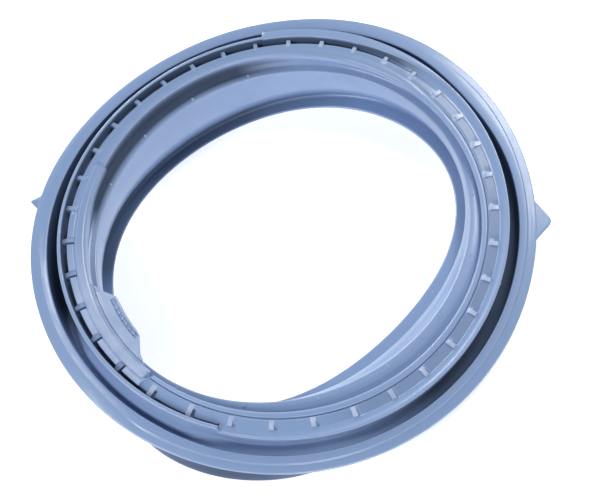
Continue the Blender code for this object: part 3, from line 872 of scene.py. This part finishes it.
@dataclass
class Tab:
    """A pointed pull tab on the flange's edge."""

    name: str
    angle: float
    half_width: float
    reach: float
    tip_radius: float
    root: float = 197.0
    top: float = -5.2
    underside: float = -8.8
    dish: float = 0.0
    tip_steps: int = 14
    point_step: float = 2.0
    middle_share: float = 0.34

    def build(self) -> list[Piece]:
        """Make the tab as a plate with a rounded tip, and a shallow dish if it has one."""
        half = math.radians(self.half_width) * self.root
        corners = np.array([[self.root, -half, 0.4], [self.reach, 0.0, self.tip_radius * 3.0],
                            [self.root, half, 0.4]])
        soft = round_corners(corners, self.tip_steps)
        long = np.concatenate([np.linspace(soft[-1], soft[0], 6)[1:-1], soft])
        fill = []
        for index in range(len(long)):
            after = long[(index + 1) % len(long)]
            count = max(int(np.linalg.norm(after - long[index]) // self.point_step), 1)
            fill.append(np.linspace(long[index], after, count, endpoint=False))
        path = np.concatenate(fill)
        radius, turn = polar(path[:, 0], path[:, 1])
        outline = np.stack([radius, self.angle + turn], -1)
        levels = [(0.8, self.underside), (0.2, self.underside + 0.3), (0.0, self.underside + 0.9),
                  (0.0, self.top - 0.8), (0.25, self.top - 0.25), (0.8, self.top)]
        if self.dish:
            levels += [(1.5, self.top), (1.9, self.top - self.dish)]
        middle = self.root + self.middle_share * (self.reach - self.root)
        return [plate(self.name, outline, levels, (middle, self.angle))]


@dataclass
class Flap:
    """The flat flap inside the broad bead, with its crease, its slot and the studs in it."""

    corners: tuple = ((202.6, 157.2), (209.4, 142.6), (212.0, 141.8), (223.6, 142.2),
                      (226.4, 143.4), (233.0, 156.4))
    root: float = 158.4
    top: float = -3.4
    thickness: float = 3.0
    crease: float = 155.8
    crease_depth: float = 1.2
    crease_width: float = 0.35
    slot: tuple = (209.8, 226.2)
    slot_radius: float = 145.6
    slot_half: float = 1.7
    slot_depth: float = 1.4
    stud_count: int = 7
    stud_radius: float = 1.15
    stations: int = 61
    # the whole flap is paled by this share as a painted highlight
    painted_highlight_share: float = 0.7

    def sheet(self) -> Piece:
        """Make the flap from sections that run inwards on top, round the tip and back below.

        Each section reaches from the root to the flap's outline at its angle. A point's height
        is the top, less a narrow trough at the crease, less the slot where it lies in it.
        """
        known = np.array(self.corners)
        ends = [edge + side for edge in self.slot for side in (-0.12, 0.12)]
        degrees = np.unique(np.concatenate([np.linspace(known[0, 0], known[-1, 0], self.stations), ends,
                                            known[1:-1, 0]]))
        tip = np.interp(degrees, known[:, 0], known[:, 1])[:, None]
        crease, middle, half = self.crease, self.slot_radius, self.slot_half
        nominal = np.array([self.root, 157.0, crease + 0.5, crease, crease - 0.5, 151.5,
                            middle + half + 0.25, middle + half, middle, middle - half,
                            middle - half - 0.25, 143.2])
        order = np.arange(len(nominal))[::-1] * 0.03
        radius = np.maximum(nominal[None, :], tip + 0.7 + order[None, :])
        height = np.full(radius.shape, self.top)
        height = height - self.crease_depth * np.exp(-((radius - crease) / self.crease_width) ** 2)
        inside = ((radius > middle - half - 0.1) & (radius < middle + half + 0.1)
                  & (degrees[:, None] > self.slot[0]) & (degrees[:, None] < self.slot[1]))
        height = np.where(inside, self.top - self.slot_depth, height)
        low = self.top - self.thickness
        rim_radius = np.concatenate([tip + 0.25, tip, tip, tip + 0.25], 1)
        rim_height = np.array([self.top - 0.12, self.top - 0.7, low + 0.7, low + 0.12])[None, :]
        back = np.array([143.5, 150.0, self.root])[None, :]
        back_radius = np.maximum(back, tip + 0.7 + np.array([0.0, 0.03, 0.06]))
        radius = np.concatenate([radius, rim_radius, back_radius], 1)
        height = np.concatenate([height, np.broadcast_to(rim_height, rim_radius.shape),
                                 np.full(back_radius.shape, low)], 1)
        points = FREE.lay(radius, degrees[:, None], height)
        rows, columns = radius.shape
        faces = [wrap_faces(rows, columns, False)] + end_faces(rows, columns)
        return put_mesh("bead_flap", points.reshape(-1, 3), faces,
                        {"edge": np.full(radius.shape, self.painted_highlight_share)})

    def build(self) -> list[Piece]:
        """Make the flap and its row of studs."""
        start, end = self.slot
        share = (np.arange(self.stud_count) + 0.7) / (self.stud_count + 0.4)
        spots = [(self.slot_radius, start + (end - start) * part, self.top - self.slot_depth - 0.3)
                 for part in share]
        studs = domes("flap_studs", spots, self.stud_radius, self.slot_depth + 0.1)
        return [self.sheet(), studs]


def domes(name: str, spots: list, radius: float, height: float, sides: int = 14) -> Piece:
    """Make a row of small round studs as one piece. Each rises straight and then rounds over.

    Args:
        name: the piece's name.
        spots: feet of the studs as (radius, degrees, height).
        radius: a stud's radius.
        height: a stud's height.
        sides: points on each ring.

    Returns:
        The new object.
    """
    profile = np.array([(1.0, 0.0), (1.0, 0.55), (0.93, 0.78), (0.72, 0.94), (0.35, 1.0)])
    around = np.linspace(0.0, 2.0 * np.pi, sides, endpoint=False)
    points, faces, caps = [], [], []
    for far, degrees, level in spots:
        turn = math.radians(degrees)
        x = far * math.cos(turn) + radius * profile[:, :1] * np.cos(around)[None, :]
        y = far * math.sin(turn) + radius * profile[:, :1] * np.sin(around)[None, :]
        tall = level + height * profile[:, 1:] + 0.0 * x
        start = sum(len(group) for group in points)
        points.append(FREE.lay(*polar(x, y), tall).reshape(-1, 3))
        faces.append(wrap_faces(len(profile), sides, False) + start)
        caps.append(np.concatenate(end_faces(len(profile), sides)) + start)
    joined = np.concatenate(points)
    return put_mesh(name, joined, [np.concatenate(faces), np.concatenate(caps)],
                    {"edge": np.full(len(joined), 0.4)})


@dataclass
class SmallMarks:
    """The pips on the ledge and the lug in the trough, feet as (radius, degrees, height)."""

    pip_count: int = 18
    pip_start: float = 5.0
    pip_radius: float = 1.1
    pip_ring: float = 158.0
    pip_height: float = 0.9
    ledge_height: float = -14.1
    lug_foot: tuple = (179.6, 340.3, -6.0)
    lug_radius: float = 1.2
    lug_height: float = 3.2
    sides: int = 12

    def build(self) -> list[Piece]:
        """Make the small raised marks."""
        step = 360.0 / self.pip_count
        spots = [(self.pip_ring, self.pip_start + step * index, self.ledge_height)
                 for index in range(self.pip_count)]
        pips = domes("ledge_pips", spots, self.pip_radius, self.pip_height, self.sides)
        lug = domes("trough_lug", [self.lug_foot], self.lug_radius, self.lug_height, self.sides)
        return [pips, lug]


@dataclass
class Studio:
    """The pale floor, the soft lights and the camera at the photograph's angle."""

    floor_size: float = 9.0
    floor_height: float = -0.0001
    floor_tone: Colour = (0.93, 0.94, 0.96)
    floor_glow: float = 0.5
    camera_place: tuple = (0.13424, -0.32525, 0.49092)
    camera_aim: tuple = (0.01865, -0.03617, 0.045)
    camera_roll: float = -22.11
    lens: float = 42.52
    sensor_width: float = 36.0
    nearest_view: float = 0.02
    sky: float = 0.10
    below: float = 0.05
    horizon: tuple = (-0.15, 0.25)
    lamps: tuple = (("left_front", 225.0, 42.0, 9.0), ("low_back", 125.0, 24.0, 15.0),
                    ("right_back", 45.0, 45.0, 12.0), ("low_front", 285.0, 24.0, 8.0))
    lamp_away: float = 1.5
    lamp_size: float = 0.6
    lamp_aim: tuple = (0.0, 0.0, 0.03)

    def floor(self) -> Piece:
        """Make the floor, a plain sheet just under the seal's lip."""
        half = self.floor_size / 2
        grid = ((-half, -half), (half, -half), (half, half), (-half, half))
        mesh = bpy.data.meshes.new("studio_floor")
        mesh.from_pydata([(x, y, self.floor_height) for x, y in grid], [], [(0, 1, 2, 3)])
        floor = add_object("studio_floor", mesh)
        bench = Bench("pale_floor")
        bench.feed(bench.shader, {
            "Base Color": (*self.floor_tone, 1.0), "Roughness": 0.7,
            "Emission Color": (1.0, 1.0, 1.0, 1.0), "Emission Strength": self.floor_glow})
        mesh.materials.append(bench.material)
        return floor

    def light(self, name: str, place: tuple, power: float) -> None:
        """Hang one large soft square light, of a power in watts, that faces the seal."""
        lamp = bpy.data.lights.new(name, "AREA")
        lamp.shape = "SQUARE"
        lamp.size = self.lamp_size
        lamp.energy = power
        holder = add_object(name, lamp)
        holder.location = place
        holder.rotation_euler = (Vector(self.lamp_aim) - Vector(place)).to_track_quat("-Z", "Y").to_euler()

    def surroundings(self) -> None:
        """Set an even light from above and a weak one from below the horizon."""
        world = bpy.data.worlds.new("studio")
        world.use_nodes = True
        bpy.context.scene.world = world
        tree = world.node_tree
        sky = tree.nodes["Background"]
        sky.inputs["Color"].default_value = (0.95, 0.97, 1.0, 1.0)
        way = tree.nodes.new("ShaderNodeTexCoord")
        split = tree.nodes.new("ShaderNodeSeparateXYZ")
        rise = tree.nodes.new("ShaderNodeMapRange")
        tree.links.new(way.outputs["Generated"], split.inputs[0])
        tree.links.new(split.outputs["Z"], rise.inputs["Value"])
        for title, value in zip(("From Min", "From Max", "To Min", "To Max"),
                                (*self.horizon, self.below, self.sky)):
            rise.inputs[title].default_value = value
        tree.links.new(rise.outputs["Result"], sky.inputs["Strength"])

    def camera(self) -> None:
        """Set up the camera, rolled about its own line of sight."""
        data = bpy.data.cameras.new("photo_camera")
        data.lens = self.lens
        data.sensor_width = self.sensor_width
        data.clip_start = self.nearest_view
        camera = add_object("photo_camera", data)
        place, aim = Vector(self.camera_place), Vector(self.camera_aim)
        forward = (aim - place).normalized()
        level = forward.cross(Vector((0.0, 0.0, 1.0))).normalized()
        upright = level.cross(forward)
        roll = math.radians(self.camera_roll)
        right = level * math.cos(roll) + upright * math.sin(roll)
        up = right.cross(forward)
        turn = Matrix((right, up, -forward)).transposed().to_4x4()
        camera.matrix_world = Matrix.Translation(place) @ turn
        bpy.context.scene.camera = camera

    def build(self) -> None:
        """Set the stage, the lights and the camera."""
        self.floor()
        self.surroundings()
        for name, around, height, power in self.lamps:
            turn, rise = math.radians(around), math.radians(height)
            spot = (self.lamp_away * math.cos(turn) * math.cos(rise),
                    self.lamp_away * math.sin(turn) * math.cos(rise), self.lamp_away * math.sin(rise))
            self.light(name, spot, power)
        bpy.context.scene.view_settings.view_transform = "Standard"
        self.camera()


def dress(pieces: list[Piece], material: bpy.types.Material) -> None:
    """Give pieces their finish, let them ride on the body and stand for the CAD node."""
    for piece in pieces:
        piece.data.materials.append(material)
        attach(piece, BODY)
        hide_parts(NODE)
        log.info("%s: %d points, %d faces", piece.name, len(piece.data.vertices),
                 len(piece.data.polygons))


def main() -> None:
    """Build every piece, dress it, and set up the studio."""
    logging.basicConfig(level=logging.INFO, format="%(message)s")
    rubber = RubberFinish().material()
    builders = (
        Moulding(),
        Flap(),
        Tab("large_tab", -2.0, 6.3, 214.4, 2.1, dish=0.4),
        Tab("small_tab", 176.2, 2.7, 208.9, 0.6),
        SmallMarks(),
    )
    for builder in builders:
        dress(builder.build(), rubber)
    Studio().build()


if __name__ == "__main__":
    main()
